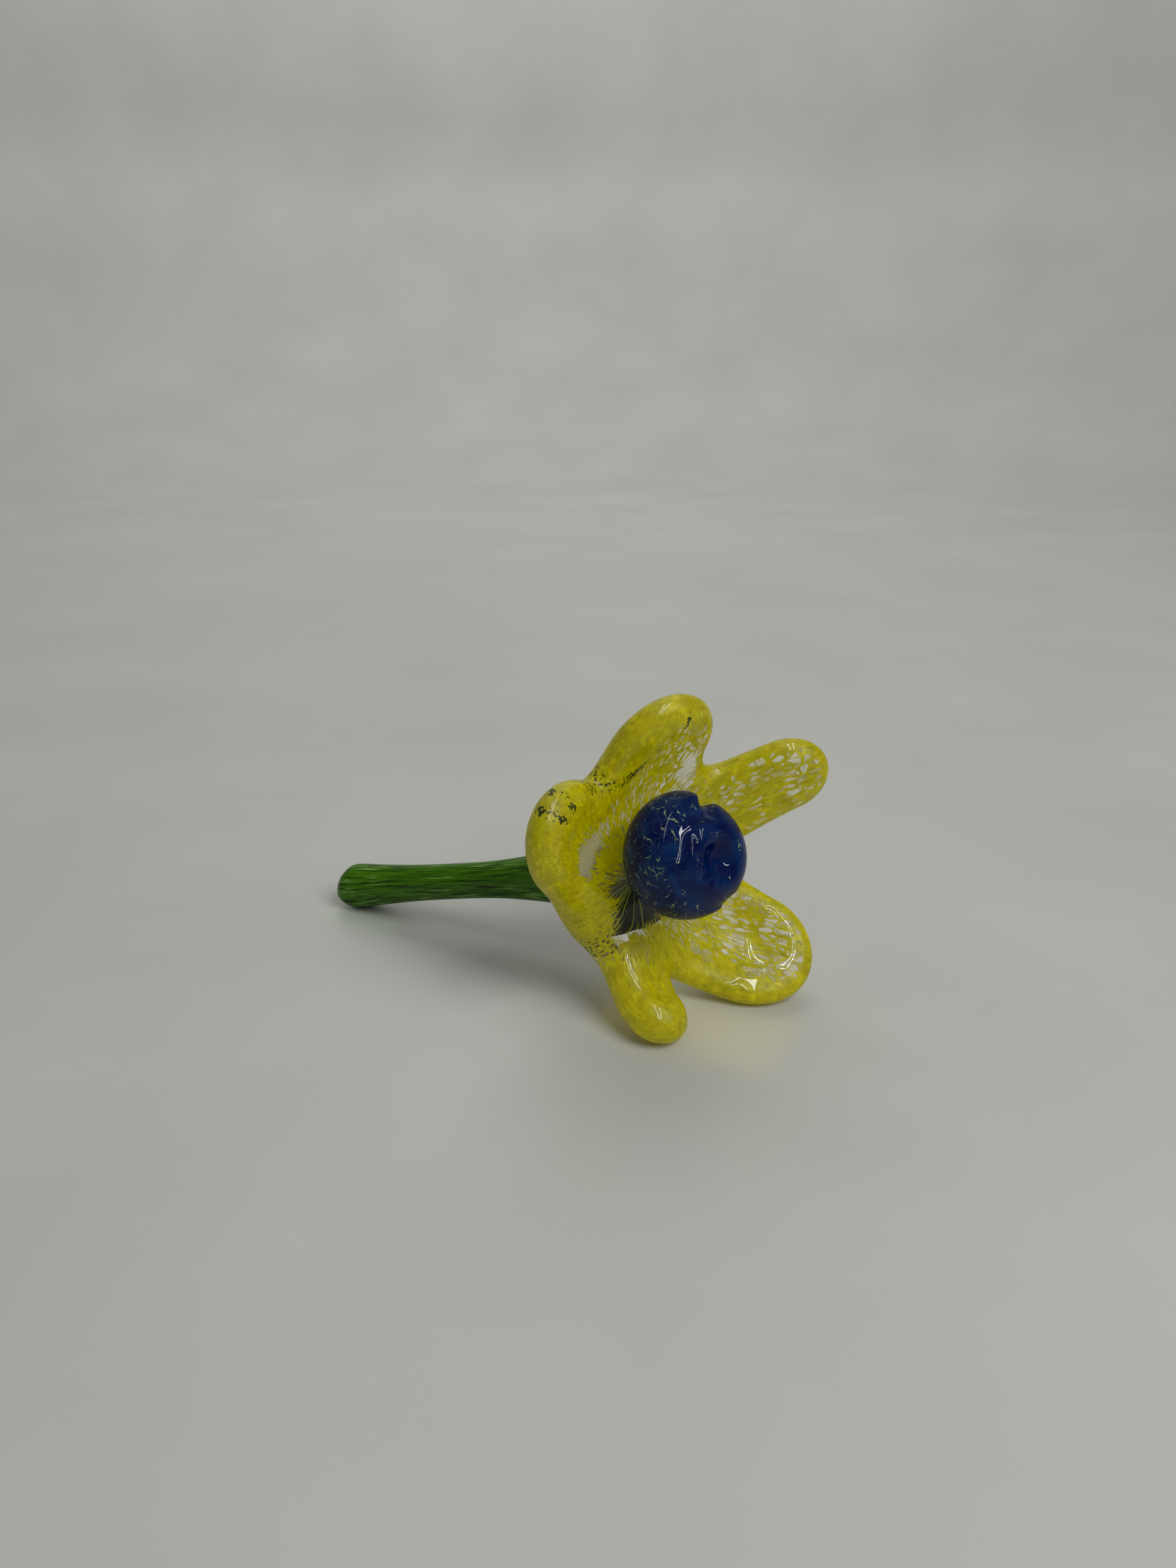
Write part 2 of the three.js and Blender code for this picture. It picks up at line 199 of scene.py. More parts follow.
class Finish:
    """A material, and the one way its nodes are made."""

    def __init__(self, name):
        self.material = bpy.data.materials.new(name)
        self.material.use_nodes = True
        self.tree = self.material.node_tree
        self.tree.nodes.clear()

    def node(self, kind, settings, sockets, output=0):
        node = self.tree.nodes.new(kind)
        for name, value in settings.items():
            setattr(node, name, value)
        for name, value in sockets.items():
            if isinstance(value, Link):
                self.tree.links.new(value.socket, node.inputs[name])
            else:
                node.inputs[name].default_value = value
        return Link(self, node.outputs[output]) if node.outputs else None

    def maths(self, operation, first, second):
        return self.node("ShaderNodeMath", {"operation": operation}, {0: first, 1: second})

    def step(self, value, low, high):
        """0 below low, 1 above high, and smooth between them."""
        limits = {"Value": value, "From Min": low, "From Max": high}
        return self.node("ShaderNodeMapRange", {"interpolation_type": "SMOOTHSTEP"}, limits)

    def blend(self, share, first, second):
        return self.node("ShaderNodeMix", {"data_type": "RGBA"}, {0: share, 6: first, 7: second}, 2)

    def kept(self, name, output="Vector"):
        """What store() kept for every vertex: a vector, or a number with output "Fac"."""
        return self.node("ShaderNodeAttribute", {"attribute_name": name}, {}, output)

    def scaled(self, vector, scales):
        return self.node("ShaderNodeVectorMath", {"operation": "MULTIPLY"}, {0: vector, 1: scales})

    def cloud(self, vector, scale, detail=3.0, distortion=0.0):
        """Noise from 0 to 1."""
        sockets = {"Vector": vector, "Scale": scale, "Detail": detail, "Distortion": distortion}
        return self.node("ShaderNodeTexNoise", {}, sockets)

    def end(self, shader):
        self.node("ShaderNodeOutputMaterial", {}, {"Surface": shader})
        return self.material


def srgb(red, green, blue):
    """A colour as seen on a screen, 0 to 255, as the renderer's own numbers."""
    parts = (red / 255, green / 255, blue / 255)
    return (*(((part + 0.055) / 1.055) ** 2.4 if part > 0.04 else part / 12.92 for part in parts), 1)


def green_glass():
    finish = Finish("green_glass")
    flow = finish.kept("flow")
    from_end = finish.node("ShaderNodeSeparateXYZ", {}, {0: flow}, "Z")
    threads = finish.cloud(finish.scaled(flow, (4, 4, 34)), 2.6, 6.0, 0.6)
    patches = finish.cloud(finish.scaled(flow, (1.2, 1.2, 40)), 1.6, 2.0)
    green = finish.blend(finish.step(threads, 0.30, 0.56), srgb(14, 38, 0), srgb(60, 106, 2))
    cut = 1 - finish.step(from_end, 0.001, 0.005)
    pale = finish.step(patches * threads + 0.05 * cut, 0.29, 0.42)
    colour = finish.blend(pale * 0.6, green, srgb(124, 168, 84))
    head = finish.kept("on_head", "Fac")
    colour = finish.blend(head, colour, srgb(3, 18, 2))
    strands = finish.step(finish.cloud(finish.scaled(flow, (1, 1, 16)), 15.0, 1.0), 0.56, 0.62)
    colour = finish.blend(strands * head, colour, srgb(164, 184, 60))
    bump = finish.node("ShaderNodeBump", {}, {
        "Height": threads * (1 - head), "Strength": 0.12, "Distance": 0.001,
    })
    shader = finish.node("ShaderNodeBsdfPrincipled", {}, {
        "Base Color": colour,
        "Roughness": 0.35,
        "IOR": GLASS_IOR,
        "Specular IOR Level": 0.0,
        "Coat Weight": 0.4,
        "Coat Roughness": 0.05,
        "Normal": bump,
    })
    return finish.end(shader)


vertices, faces, flow, on_head = stem_mesh()
stem = new_piece("stem_and_head", vertices, faces, green_glass(), "stem")
store(stem, "flow", flow)
store(stem, "on_head", on_head)
rounding = stem.modifiers.new("rounding", "SUBSURF")
rounding.levels = ROUNDING_LEVELS
rounding.render_levels = ROUNDING_LEVELS


# ---- The bloom ----------------------------------------------------------------------------
# A thick plate of clear glass rolled in yellow chips, slit between the petals, pulled out and bent
# forward while hot. On both faces the chips drew out into a net with clear cells, and on the edges,
# which were tooled, they lie closed.

# Angles are seen from the front, from the horizontal, anticlockwise. lift is how steeply a petal
# rises out of the bowl, tip_lift how steeply at its tip, and cup how strongly it curls across.
PETALS = {
    "azimuth": np.radians([-106, -45, 26, 82, 145]),
    "length": np.array([0.0565, 0.071, 0.0755, 0.0675, 0.055]),
    "half_width": np.array([0.0106, 0.020, 0.0143, 0.0195, 0.018]),
    "lift": np.radians([30, 14, 36, 33, 29]),
    "tip_lift": np.radians([94, 55, 51.5, 57, 59]),
    "cup": np.array([4.0, 8.0, 6.0, 1.0, 10.0]),
    "half_thickness": np.array([0.0072, 0.0046, 0.0051, 0.0058, 0.0063]),
    # How much of the glass the chips cover, and how wide a band of them lies closed at the edge.
    "chips": np.array([0.70, 0.28, 0.27, 0.34, 0.40]),
    "band": np.array([0.022, 0.0009, 0.0010, 0.0022, 0.0080]),
}
# Places on the flat pattern: where, how far they reach along and across, and which way they lie in
# degrees. With the clear and closed ones goes what they add to the chips' cover.
CLEAR_AND_CLOSED = [
    ((-0.0255, 0.0150), (0.0140, 0.0055), 45, -0.85),
    ((-0.0160, 0.0120), (0.0100, 0.0040), 35, 0.6),
    ((-0.009, -0.012), (0.013, 0.010), 235, -1.6),
    ((0.0208, 0.0375), (0.009, 0.0026), 90, -0.5),
    ((0.031, 0.030), (0.008, 0.006), 40, 0.4),
    ((-0.010, -0.025), (0.006, 0.007), -106, -0.6),
    ((0.014, -0.033), (0.006, 0.004), -60, -0.5),
    ((0.032, -0.047), (0.008, 0.003), -30, -0.4),
    ((0.025, -0.040), (0.011, 0.007), -45, 0.3),
    ((0.042, 0.014), (0.018, 0.006), 22, 0.3),
    ((-0.0085, 0.0520), (0.026, 0.008), 62, 1.0),
    ((-0.038, 0.026), (0.010, 0.020), 145, 0.9),
]
DARK_CHIPS = [
    ((-0.0372, 0.0362), (0.0028, 0.0020), 31),
    ((-0.0432, 0.0326), (0.0022, 0.0022), 31),
    ((-0.0060, 0.0440), (0.0120, 0.0030), 43),
    ((-0.0210, 0.0385), (0.0060, 0.0026), -7),
    ((0.0082, 0.0640), (0.0030, 0.0018), 70),
]
# Where the clear cells have no pale film, so that the stem's head shows through them.
OVER_HEAD = (-0.008, -0.013), (0.019, 0.016), 235
MILK = 0.36                     # how dense the film is elsewhere
CLOSED_COVER = 1.1              # cover at which the net closes
# Where the glass between each petal and the next comes nearest to the axis, and how near.
NOTCH_AZIMUTHS = np.radians([-86, -3, 50, 115, -132])
NOTCH_RADII = np.array([0.0285, 0.024, 0.045, 0.034, 0.024])
JOIN_SHARPNESS = 8              # higher gives a tighter corner between petal and web
PETAL_FOCUS = 6                 # how closely the glass follows the petal nearest to it
WEB_FOCUS = 5                   # and the web the notch nearest to it
RIM_WIDTH = 0.008               # over which the edge rounds off
BOWL_DEPTH = 0.015
HUB_HALF_THICKNESS = 0.012
HUB_RADIUS = 0.034              # where the thick hub has thinned to petal glass
BOWL_BEND = (0.002, 0.026)      # distances from the axis over which a petal takes its lift
TIP_BEND = (0.030, 0.062)       # and its tip's lift
CUP_START = (0.020, 0.045)      # and its cup
# Waves on the front face: height, how many to a metre, and a shift that sets them apart.
WAVES = [(0.00040, 75, 0), (0.00014, 210, 0.01)]
FLOW_RADIUS = 0.040             # of the round that the chips' pattern runs on
SIDE_STEPS = 44                 # points along each side of a petal, from notch to tip
EDGE_RINGS = 8                  # rings of faces round the edge, on each face of the bloom
ROW_CELLS = 18                  # cells across a petal
HUB_RINGS = 10                  # rings of faces from the petals to the axis
BEND_STEPS = 24


def shares(angle, centres, focus):
    """How much each petal, or notch, counts at an angle. The shares add up to one."""
    raw = np.exp(focus * (np.cos(angle[:, None] - centres) - 1))
    return raw / raw.sum(1, keepdims=True)


def petal_value(angle, key):
    return shares(angle, PETALS["azimuth"], PETAL_FOCUS) @ PETALS[key]


def polar(radius, angle):
    return np.stack([radius * np.cos(angle), radius * np.sin(angle)], -1)


def outline_radius(angle):
    """Five straight-sided petals with round tips, joined by the web between them."""
    total = (shares(angle, NOTCH_AZIMUTHS, WEB_FOCUS) @ NOTCH_RADII) ** JOIN_SHARPNESS
    for azimuth, length, half in zip(PETALS["azimuth"], PETALS["length"], PETALS["half_width"]):
        along = np.cos(angle - azimuth)
        across = np.abs(np.sin(angle - azimuth))
        reach = length - half
        tip = reach * along + np.sqrt(np.maximum(half ** 2 - (reach * across) ** 2, 0))
        side = half / np.maximum(across, 1e-9)
        ahead = np.where(across * reach < half * along, tip, side)
        total += np.where(along > 0, ahead, half) ** JOIN_SHARPNESS
    return total ** (1 / JOIN_SHARPNESS)


def outline_points(start, end):
    """Points at equal distances along the outline between two angles, without the last."""
    angles = np.linspace(start, end, 600)
    edge = polar(outline_radius(angles), angles)
    lengths = np.concatenate([[0], np.cumsum(np.linalg.norm(np.diff(edge, axis=0), axis=1))])
    found = np.interp(lengths[-1] * np.arange(SIDE_STEPS) / SIDE_STEPS, lengths, angles)
    return polar(outline_radius(found), found)


def flat_pattern():
    """The bloom before it is bent: points, how thick the glass is at each as a share, and faces."""
    rim = []
    for petal, tip in enumerate(PETALS["azimuth"]):
        before = tip - (tip - NOTCH_AZIMUTHS[petal - 1]) % (2 * np.pi)
        after = tip + (NOTCH_AZIMUTHS[petal] - tip) % (2 * np.pi)
        rim += [outline_points(before, tip), outline_points(tip, after)]
    rim = np.concatenate(rim)
    along = unit(np.roll(rim, -1, 0) - np.roll(rim, 1, 0))
    inward = np.stack([-along[:, 1], along[:, 0]], -1)
    count = len(rim)
    points = list(rim)
    fullness = [0.0] * count
    faces = []

    def join(outer, inner):
        for i, corner in enumerate(outer):
            after = (i + 1) % len(outer)
            faces.append((corner, outer[after], inner[after], inner[i]))

    ring = list(range(count))
    for step in range(1, EDGE_RINGS + 1):
        roll = step / EDGE_RINGS * math.pi / 2
        inner = list(range(len(points), len(points) + count))
        points += list(rim + inward * RIM_WIDTH * (1 - math.cos(roll)))
        fullness += [math.sin(roll)] * count
        join(ring, inner)
        ring = inner

    hub = []
    for petal in range(len(PETALS["azimuth"])):
        first = 2 * SIDE_STEPS * petal
        below = []
        for row in range(SIDE_STEPS):
            left = ring[first + row]
            right = ring[(first + 2 * SIDE_STEPS - row) % count]
            cells = [left]
            for cell in range(1, ROW_CELLS):
                share = cell / ROW_CELLS
                cells.append(len(points))
                points.append(points[left] * (1 - share) + points[right] * share)
                fullness.append(1.0)
            cells.append(right)
            if row == 0:
                hub += cells[:-1]
            else:
                for cell in range(ROW_CELLS):
                    faces.append((below[cell], cells[cell], cells[cell + 1], below[cell + 1]))
            below = cells
        tip = ring[first + SIDE_STEPS]
        faces += [(below[cell], tip, below[cell + 1]) for cell in range(ROW_CELLS)]

    ring = hub
    for step in range(1, HUB_RINGS):
        inner = list(range(len(points), len(points) + len(hub)))
        points += [points[corner] * (1 - step / HUB_RINGS) for corner in hub]
        fullness += [1.0] * len(hub)
        join(ring, inner)
        ring = inner
    points.append(np.zeros(2))
    fullness.append(1.0)
    faces += [(corner, ring[(i + 1) % len(ring)], len(points) - 1) for i, corner in enumerate(ring)]
    return np.array(points), np.array(fullness), faces, count


def middle(points):
    """Where points of the flat pattern stand once the glass is bent forward."""
    radius = np.linalg.norm(points, axis=1)
    angle = np.arctan2(points[:, 1], points[:, 0])
    lift = petal_value(angle, "lift")
    tip_lift = petal_value(angle, "tip_lift")

    def slope_at(distance):
        return lift * smoothstep(distance, *BOWL_BEND) + (tip_lift - lift) * smoothstep(distance, *TIP_BEND)

    out = np.zeros(len(points))
    up = np.full(len(points), -BOWL_DEPTH)
    for step in range(BEND_STEPS):
        slope = slope_at(radius * (step + 0.5) / BEND_STEPS)
        out += np.cos(slope) * radius / BEND_STEPS
        up += np.sin(slope) * radius / BEND_STEPS
    curls = PETALS["cup"] * (radius[:, None] * np.sin(angle[:, None] - PETALS["azimuth"])) ** 2
    curl = (shares(angle, PETALS["azimuth"], PETAL_FOCUS) * curls).sum(1) * smoothstep(radius, *CUP_START)
    out -= curl * np.sin(slope_at(radius))
    up += curl * np.cos(slope_at(radius))
    return np.stack([out * np.cos(angle), out * np.sin(angle), up], -1)


def half_thickness(points):
    """The hub is the thickest. Away from it each petal has its own thickness."""
    petal_half = petal_value(np.arctan2(points[:, 1], points[:, 0]), "half_thickness")
    hub = smoothstep(np.linalg.norm(points, axis=1), BOWL_BEND[0], HUB_RADIUS)
    return HUB_HALF_THICKNESS + (petal_half - HUB_HALF_THICKNESS) * hub


def bloom_face(points, fullness, side):
    """The front face for side 1 and the back face for side -1, and which way the glass faces."""
    nudge = 0.00005
    across_x = middle(points + (nudge, 0)) - middle(points - (nudge, 0))
    across_y = middle(points + (0, nudge)) - middle(points - (0, nudge))
    normal = unit(np.cross(across_x, across_y))
    return middle(points) + normal * (side * half_thickness(points) * fullness)[:, None], normal


def place(points, at, reach, lie):
    """1 at a place on the pattern, falling off to 0 round it."""
    lie = math.radians(lie)
    shift = points - at
    along = (shift[:, 0] * math.cos(lie) + shift[:, 1] * math.sin(lie)) / reach[0]
    across = (shift[:, 1] * math.cos(lie) - shift[:, 0] * math.sin(lie)) / reach[1]
    return np.exp(-(along ** 2) - across ** 2)


def bloom_mesh():
    points, fullness, faces, rim_count = flat_pattern()
    front, normal = bloom_face(points, fullness, 1)
    back, _ = bloom_face(points, fullness, -1)
    rise = np.linalg.norm(points, axis=1)
    angle = np.arctan2(points[:, 1], points[:, 0])
    waves = np.array([
        sum(height * noise.noise(Vector((x, y, shift)) * pitch) for height, pitch, shift in WAVES)
        for x, y in points
    ])
    front += normal * (waves * np.minimum(fullness * 1.2, 1))[:, None]
    backs = np.arange(rim_count, len(points))
    vertices = np.concatenate([front, back[backs]])
    other = np.concatenate([np.arange(rim_count), len(points) + np.arange(len(backs))])
    all_faces = faces + [tuple(int(other[corner]) for corner in reversed(face)) for face in faces]
    turned = bloom_frame()
    placed = [turned @ Vector(vertex) for vertex in vertices]

    def both(values):
        return np.concatenate([values, values[backs]])

    rim = kdtree.KDTree(rim_count)
    for corner, (x, y) in enumerate(points[:rim_count]):
        rim.insert((x, y, 0), corner)
    rim.balance()
    from_rim = np.array([rim.find((x, y, 0))[2] for x, y in points])
    band = petal_value(angle, "band")
    closed = CLOSED_COVER * (1 - smoothstep(from_rim, 0.7 * band, 1.3 * band))
    chips = np.maximum(petal_value(angle, "chips"), closed)
    for at, reach, lie, more in CLEAR_AND_CLOSED:
        chips += more * place(points, at, reach, lie)
    dark = sum(place(points, at, reach, lie) for at, reach, lie in DARK_CHIPS)
    milk = MILK * (1 - np.minimum(1, 1.3 * place(points, *OVER_HEAD)))
    # The flow runs round the axis and out along the petals. Its radius grows with the thickness,
    # so that the net also runs over the edges.
    around = FLOW_RADIUS + half_thickness(points) * fullness
    flow = np.stack([around * np.cos(angle), around * np.sin(angle), rise], -1)
    return placed, all_faces, {
        "flow": both(flow),
        "chips": both(chips),
        "dark": both(dark),
        "milk": both(milk),
    }


def yellow_glass():
    finish = Finish("yellow_glass")
    flow = finish.kept("flow")
    drawn_out = finish.scaled(flow, (1, 1, 0.4))
    wander = finish.cloud(finish.scaled(flow, (1, 1, 0.6)), 190.0, 3.0)
    cover = finish.kept("chips", "Fac") + (wander - 0.5) * 0.75
    # The net: long twisted cells, whose walls grow with the cover until they meet.
    twists = finish.node("ShaderNodeTexNoise", {}, {
        "Vector": flow, "Scale": 300.0, "Detail": 5.0, "Roughness": 0.58,
    }, "Color")
    twisted = finish.node("ShaderNodeVectorMath", {"operation": "MULTIPLY_ADD"}, {
        0: twists, 1: (0.0022, 0.0022, 0.0034), 2: drawn_out,
    })
    cells = finish.node("ShaderNodeTexVoronoi", {"feature": "DISTANCE_TO_EDGE"}, {
        "Vector": twisted, "Scale": 440.0, "Randomness": 1.0,
    })
    net = 1 - finish.step(cells - cover * 0.5, -0.05, 0.04)
    haze = finish.step(finish.cloud(drawn_out, 420.0, 4.0), 0.45, 0.75)
    chipped = finish.maths("MAXIMUM", net, haze * finish.step(cover, 0.0, 0.3) * 0.4)
    # The chips' own colour: mottled, with light and dark strokes that run outwards.
    mottle = finish.cloud(flow, 160.0, 4.0, 0.5)
    yellow = finish.blend(finish.step(mottle, 0.3, 0.7), srgb(148, 140, 0), srgb(166, 158, 0))
    strokes = finish.cloud(drawn_out, 800.0, 3.0, 0.4)
    yellow = finish.blend(finish.step(strokes, 0.50, 0.70) * 0.3, yellow, srgb(222, 214, 10))
    yellow = finish.blend(finish.step(strokes, 0.44, 0.28) * 0.5, yellow, srgb(100, 98, 0))
    # Dark specks lie over the net, and the pale film lies in its cells.
    specks = finish.step(finish.cloud(flow, 1100.0, 2.0) + finish.kept("dark", "Fac") * 0.42, 0.80, 0.86)
    chipped = finish.maths("MAXIMUM", chipped, specks)
    milky = finish.maths("MAXIMUM", chipped, finish.kept("milk", "Fac"))
    coloured = finish.blend(chipped / milky, srgb(204, 200, 178), yellow)
    coloured = finish.blend(specks * 0.95, coloured, srgb(14, 30, 8))
    clear = finish.node("ShaderNodeBsdfPrincipled", {}, {
        "Base Color": srgb(250, 250, 244),
        "Roughness": 0.0,
        "IOR": GLASS_IOR,
        "Transmission Weight": 1.0,
    })
    # The chips and the pale film also glow in their own colour. This is painted light, standing in for the
    # light that reaches them through the glass.
    chip = finish.node("ShaderNodeBsdfPrincipled", {}, {
        "Base Color": coloured,
        "Roughness": 0.4,
        "IOR": GLASS_IOR,
        "Specular IOR Level": 0.0,
        "Transmission Weight": 0.3,
        "Coat Weight": 0.4,
        "Coat Roughness": 0.02,
        "Emission Color": coloured,
        "Emission Strength": 0.24,
    })
    return finish.end(finish.node("ShaderNodeMixShader", {}, {0: milky, 1: clear, 2: chip}))


vertices, faces, kept = bloom_mesh()
bloom = new_piece("bloom_glass", vertices, faces, yellow_glass(), "bloom")
for name, values in kept.items():
    store(bloom, name, values)


# ---- The bulb -----------------------------------------------------------------------------
# A ball of navy glass, its foot set in the bowl. A collar runs round its back, and its mouth was
# folded in while hot, which left hollows with ridges between them. Pale threads form an open net
# in the blue.

BULB_RADIUS = 0.0178
BULB_AT = (0.0007, 0.0068, 0.0153)
BULB_TILT = (math.radians(-2.5), math.radians(8))      # about the bloom's X and Y axes
BULB_FOOT = 0.0205              # how far back the foot reaches from the bulb's middle
FOOT_FROM = (140, 180)          # degrees from the mouth's middle over which the foot swells out
# Degrees from the mouth's middle: where the neck sinks in and ends, and the collar's middle and
# reach. The neck and the collar run askew, further back on the far side.
NECK_FROM = (24, 52)
NECK_TO = (59, 67)
COLLAR = (92, 32)
SKEW = 40
NECK_DEPTH = 0.0027
COLLAR_HEIGHT = 0.0015
UNDERSIDE_SHARE = 0.25          # how much of the neck and the collar is left on the underside
DENT_SHARPNESS = 2.3            # 2 gives a bell-shaped dent, more a flatter one with steeper sides
# Hollows pressed into the mouth: degrees from the mouth's middle and round it, degrees of reach
# towards and round the mouth, depth, and depth of the creases on the side away from the mouth.
HOLLOWS = [
    (10, -155, 17, 16, 0.0042, 0.00022),
    (12, 176, 21, 27, 0.0020, 0),
    (31, 178, 4.5, 22, 0.0010, 0),
    (52, 160, 8, 16, 0.0008, 0),
]
CREASES = 15                    # round the whole hollow, if they ran all the way
BULB_SPOKES = 144
BULB_RINGS = 108


def dent(value, width):
    return np.exp(-(np.abs(value / width) ** DENT_SHARPNESS))


def ray_at(from_mouth, round_mouth):
    """The direction that lies that many degrees from the mouth's middle and round it."""
    tilt = math.radians(from_mouth)
    spin = math.radians(round_mouth)
    return np.array((math.sin(tilt) * math.cos(spin), math.sin(tilt) * math.sin(spin), math.cos(tilt)))


def bulb_mesh():
    polar_angle = np.pi * np.arange(1, BULB_RINGS) / BULB_RINGS
    turn = 2 * np.pi * np.arange(BULB_SPOKES) / BULB_SPOKES
    tilt, spin = (grid.ravel() for grid in np.meshgrid(polar_angle, turn, indexing="ij"))
    rays = np.stack([np.sin(tilt) * np.cos(spin), np.sin(tilt) * np.sin(spin), np.cos(tilt)], -1)
    rays = np.concatenate([[(0, 0, 1)], rays, [(0, 0, -1)]])
    from_mouth = np.degrees(np.arccos(rays[:, 2]))
    round_mouth = np.arctan2(rays[:, 1], rays[:, 0])
    upper = UNDERSIDE_SHARE + (1 - UNDERSIDE_SHARE) * smoothstep(np.sin(round_mouth), -0.2, 0.9)
    askew = from_mouth - SKEW * smoothstep(np.cos(round_mouth), 0.1, 0.7)
    neck = smoothstep(askew, *NECK_FROM) * (1 - smoothstep(askew, *NECK_TO))
    radius = (
        BULB_RADIUS
        + upper * (COLLAR_HEIGHT * dent(askew - COLLAR[0], COLLAR[1]) - NECK_DEPTH * neck)
        + (BULB_FOOT - BULB_RADIUS) * smoothstep(from_mouth, *FOOT_FROM)
    )
    points = rays * radius[:, None]
    for away, spin_at, reach, sweep, depth, crease_depth in HOLLOWS:
        centre = ray_at(away, spin_at)
        outwards = ray_at(away + 90, spin_at)
        aside = np.cross(centre, outwards)
        down = np.degrees(np.arctan2(rays @ outwards, rays @ centre))
        across = np.degrees(np.arctan2(rays @ aside, rays @ centre))
        pressed = depth * dent(down, reach) * dent(across, sweep)
        creases = np.cos(CREASES * np.arctan2(across, down))
        ring = dent(np.hypot(down, across) - reach, 0.6 * reach) * smoothstep(down, 0, reach)
        pressed += crease_depth * creases * ring
        points -= centre * pressed[:, None]
    faces = []
    last = len(rays) - 1
    for spoke in range(BULB_SPOKES):
        after = (spoke + 1) % BULB_SPOKES
        faces.append((0, 1 + spoke, 1 + after))
        for ring in range(BULB_RINGS - 2):
            here = 1 + ring * BULB_SPOKES
            below = here + BULB_SPOKES
            faces.append((here + spoke, below + spoke, below + after, here + after))
        here = 1 + (BULB_RINGS - 2) * BULB_SPOKES
        faces.append((here + spoke, last, here + after))
    seat = bloom_frame() @ Matrix.Translation(BULB_AT)
    seat = seat @ Matrix.Rotation(BULB_TILT[1], 4, "Y") @ Matrix.Rotation(BULB_TILT[0], 4, "X")
    return [seat @ Vector(point) for point in points], faces, rays


def navy_glass():
    finish = Finish("navy_glass")
    ray = finish.kept("ray")
    mouth = finish.node("ShaderNodeSeparateXYZ", {}, {0: ray}, "Z")
    wander = finish.cloud(ray, 2.6, 4.0)
    twists = finish.node("ShaderNodeTexNoise", {}, {"Vector": ray, "Scale": 5.0, "Detail": 1.0}, "Color")
    twisted = finish.node("ShaderNodeVectorMath", {"operation": "MULTIPLY_ADD"}, {
        0: twists, 1: (0.2, 0.2, 0.2), 2: ray,
    })
    cells = finish.node("ShaderNodeTexVoronoi", {"feature": "DISTANCE_TO_EDGE"}, {
        "Vector": twisted, "Scale": 6.5, "Randomness": 1.0,
    })
    patchy = finish.cloud(ray, 9.0, 2.0)
    shown = finish.step(patchy - 0.12 * finish.step(mouth, 0.3, 0.8), 0.52, 0.62)
    thread = (1 - finish.step(cells, 0.012, 0.045)) * shown
    faint = (1 - finish.step(cells, 0.0, 0.10)) * (1 - finish.step(mouth, 0.2, 0.9)) * 0.2
    navy = finish.blend(finish.step(wander, 0.35, 0.7), srgb(0, 10, 60), srgb(3, 36, 80))
    navy = finish.blend(faint, navy, srgb(44, 78, 110))
    shader = finish.node("ShaderNodeBsdfPrincipled", {}, {
        "Base Color": finish.blend(thread * 0.8, navy, srgb(150, 170, 104)),
        "Roughness": 0.4,
        "IOR": GLASS_IOR,
        "Specular IOR Level": 0.0,
        "Coat Weight": 0.45,
        "Coat Roughness": 0.02,
    })
    return finish.end(shader)


vertices, faces, rays = bulb_mesh()
bulb = new_piece("folded_bulb", vertices, faces, navy_glass(), "bulb")
store(bulb, "ray", rays)


# ---- The table, the light and the camera --------------------------------------------------
# A pale table top that sweeps up to a wall all round. The main light stands at the front right, and
# softer ones hang over the flower and over the table behind it. Two long tubes overhead show only
# as reflections.

TABLE_RADIUS = 1.5
TABLE_SIDES = 96
FLAT_RINGS = [0.0, 0.3, 0.6, 1.0, TABLE_RADIUS]
WALL_SWEEP = 0.6
WALL_HEIGHT = 2.2
SWEEP_STEPS = 12


def table_mesh():
    profile = [(radius, 0.0) for radius in FLAT_RINGS]
    for step in range(1, SWEEP_STEPS + 1):
        angle = step / SWEEP_STEPS * math.pi / 2
        profile.append((TABLE_RADIUS + WALL_SWEEP * math.sin(angle), WALL_SWEEP * (1 - math.cos(angle))))
    profile.append((TABLE_RADIUS + WALL_SWEEP, WALL_HEIGHT))
    vertices = [(0, 0, 0)]
    faces = []
    for ring, (radius, height) in enumerate(profile[1:]):
        for side in range(TABLE_SIDES):
            angle = 2 * math.pi * side / TABLE_SIDES
            vertices.append((radius * math.cos(angle), radius * math.sin(angle), height))
            here = 1 + ring * TABLE_SIDES + side
            after = 1 + ring * TABLE_SIDES + (side + 1) % TABLE_SIDES
            if ring == 0:
                faces.append((0, here, after))
            else:
                faces.append((here - TABLE_SIDES, here, after, after - TABLE_SIDES))
    return vertices, faces


def table_top():
    finish = Finish("table_top")
    spot = finish.node("ShaderNodeTexCoord", {}, {}, "Object")
    clouds = finish.cloud(spot, 7.0, 4.0)
    colour = finish.blend(clouds, srgb(172, 172, 167), srgb(190, 190, 185))
    shader = finish.node("ShaderNodeBsdfPrincipled", {}, {
        "Base Color": colour,
        "Roughness": 0.35,
        "Specular IOR Level": 0.3,
    })
    return finish.end(shader)


vertices, faces = table_mesh()
mesh = bpy.data.meshes.new("table")
mesh.from_pydata(vertices, [], faces)
mesh.shade_smooth()
mesh.materials.append(table_top())
table = bpy.data.objects.new("table", mesh)
bpy.context.scene.collection.objects.link(table)

CAMERA_YAW = math.radians(29)
CAMERA_TILT = math.radians(70)  # from looking straight down
CAMERA_AT = Vector((0.1832, -0.2939, 0.1901))
SENSOR_HEIGHT = 36              # in millimetres, and so is the lens
LENS = 27.03
UNDER_BLOOM = Vector((BLOOM_AT.x, BLOOM_AT.y, 0))
TUBE_SIZE = (0.06, 3.0)
TUBE_HEIGHT = 2.0
TUBES_IN_FRONT = 1.3            # from the bloom to the middle of the tubes
TUBES_ASIDE = 0.17              # to each side
TUBE_WATTS = 16
